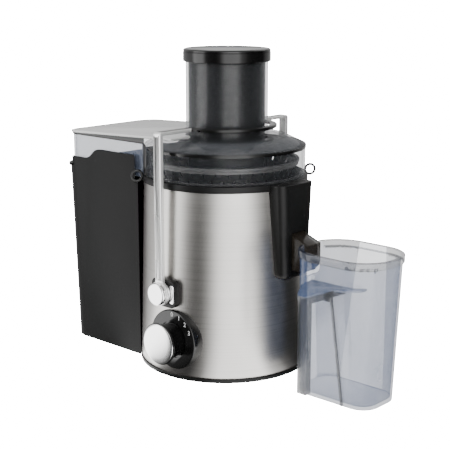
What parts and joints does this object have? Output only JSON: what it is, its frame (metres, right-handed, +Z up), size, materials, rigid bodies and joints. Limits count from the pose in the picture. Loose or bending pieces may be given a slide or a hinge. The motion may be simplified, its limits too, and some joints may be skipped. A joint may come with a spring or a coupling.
{
  "type": "centrifugal juicer",
  "caption": "Centrifugal juicer with a steel body, clear lid and round feed chute, locking arm, speed knob, pulp container and clear juice jug.",
  "frame": {"origin": "centre of the object's footprint box on the surface that the juicer stands on; the motor axis stands 14.7 mm towards -X and 3.35 mm towards +Y from it", "axes": "+Z up, +X towards the spout and the jug, -X towards the pulp container, -Y towards the speed knob"},
  "size_m": [0.3826, 0.205, 0.3168],
  "materials": {
    "black_plastic": "fine moulded texture",
    "black_satin": "satin moulded plastic",
    "black_gloss": "gloss moulded plastic",
    "rubber": "matt rubber",
    "steel_brushed": "brushed round the body",
    "steel_bright": "turned steel",
    "steel_fine": "etched steel",
    "steel_plate": "laminated and pressed steel",
    "copper": "enamelled copper",
    "graphite": "dull dark grey",
    "fan_plastic": "pale moulded nylon",
    "silver_arm": "silver paint",
    "chrome": "bright plated",
    "clear_plastic": "clear moulded plastic",
    "clear_smoke": "slightly smoky clear plastic",
    "grey_gloss": "pale grey gloss",
    "basket_rim_grey": "dark grey moulded plastic"
  },
  "bodies": {
    "base": {"base_cover": "black_plastic", "rubber_feet": "rubber", "base_screws": "steel_bright", "steel_sleeve": "steel_brushed", "motor_housing": "black_plastic", "motor_deck": "black_plastic", "cord_inlet": "black_plastic", "lower_bearing": "steel_bright", "upper_bearing": "steel_bright", "lower_bracket": "steel_plate", "upper_bracket": "steel_plate", "field_core": "steel_plate", "field_coils": "copper", "motor_bolts": "steel_bright", "motor_mounts": "rubber", "brush_holders": "black_plastic", "carbon_brushes": "graphite", "filter_bowl": "black_plastic", "spout_housing": "black_plastic", "spout_nozzle": "clear_smoke", "bowl_seal": "rubber", "bowl_ears": "steel_bright", "lid": "clear_plastic", "lid_band": "black_gloss", "pulp_hood": "clear_plastic", "hood_top": "grey_gloss", "hood_rim": "black_gloss", "pivot_plates": "black_plastic", "pivot_pins": "steel_bright", "pivot_tiles": "chrome", "knob_bezel": "black_gloss", "speed_switch": "black_plastic"},
    "rotor": {"motor_shaft": "steel_bright", "armature": "steel_plate", "commutator": "copper", "cooling_fan": "fan_plastic", "drive_coupling": "graphite", "basket_base": "black_plastic", "basket_mesh": "steel_fine", "basket_rim": "basket_rim_grey", "grater_disc": "steel_fine", "basket_nut": "steel_bright"},
    "arm": {"locking_arm": "silver_arm", "pivot_caps": "chrome"},
    "pusher": {"pusher_body": "black_gloss", "pusher_cap": "black_gloss"},
    "knob": {"knob": "black_gloss", "knob_cap": "chrome", "knob_spindle": "steel_bright"},
    "pulp_bin": {"pulp_container": "black_satin", "pulp_feet": "black_satin"},
    "jug": {"jug": "clear_smoke", "jug_handle": "clear_smoke"}
  },
  "joints": [
    {"name": "rotor_spin", "type": "hinge", "parent": "base", "child": "rotor", "pos_m": [-0.01468, 0.0041, 0.15], "axis": [0, 0, 1], "continuous": true},
    {"name": "arm_swing", "type": "hinge", "parent": "base", "child": "arm", "pos_m": [-0.01518, 0.0041, 0.088], "axis": [0, 1, 0], "range_deg": [0, 42]},
    {"name": "pusher_slide", "type": "slide", "parent": "base", "child": "pusher", "axis": [0, 0, 1], "range_m": [0, 0.085]},
    {"name": "knob_turn", "type": "hinge", "parent": "base", "child": "knob", "pos_m": [-0.00468, -0.0859, 0.0425], "axis": [0, -1, 0], "range_deg": [-90, 45]},
    {"name": "pulp_bin_slide", "type": "slide", "parent": "base", "child": "pulp_bin", "axis": [-1, 0, 0], "range_m": [0, 0.09]},
    {"name": "jug_slide", "type": "slide", "parent": "base", "child": "jug", "axis": [1, 0, 0], "range_m": [0, 0.08]}
  ]
}
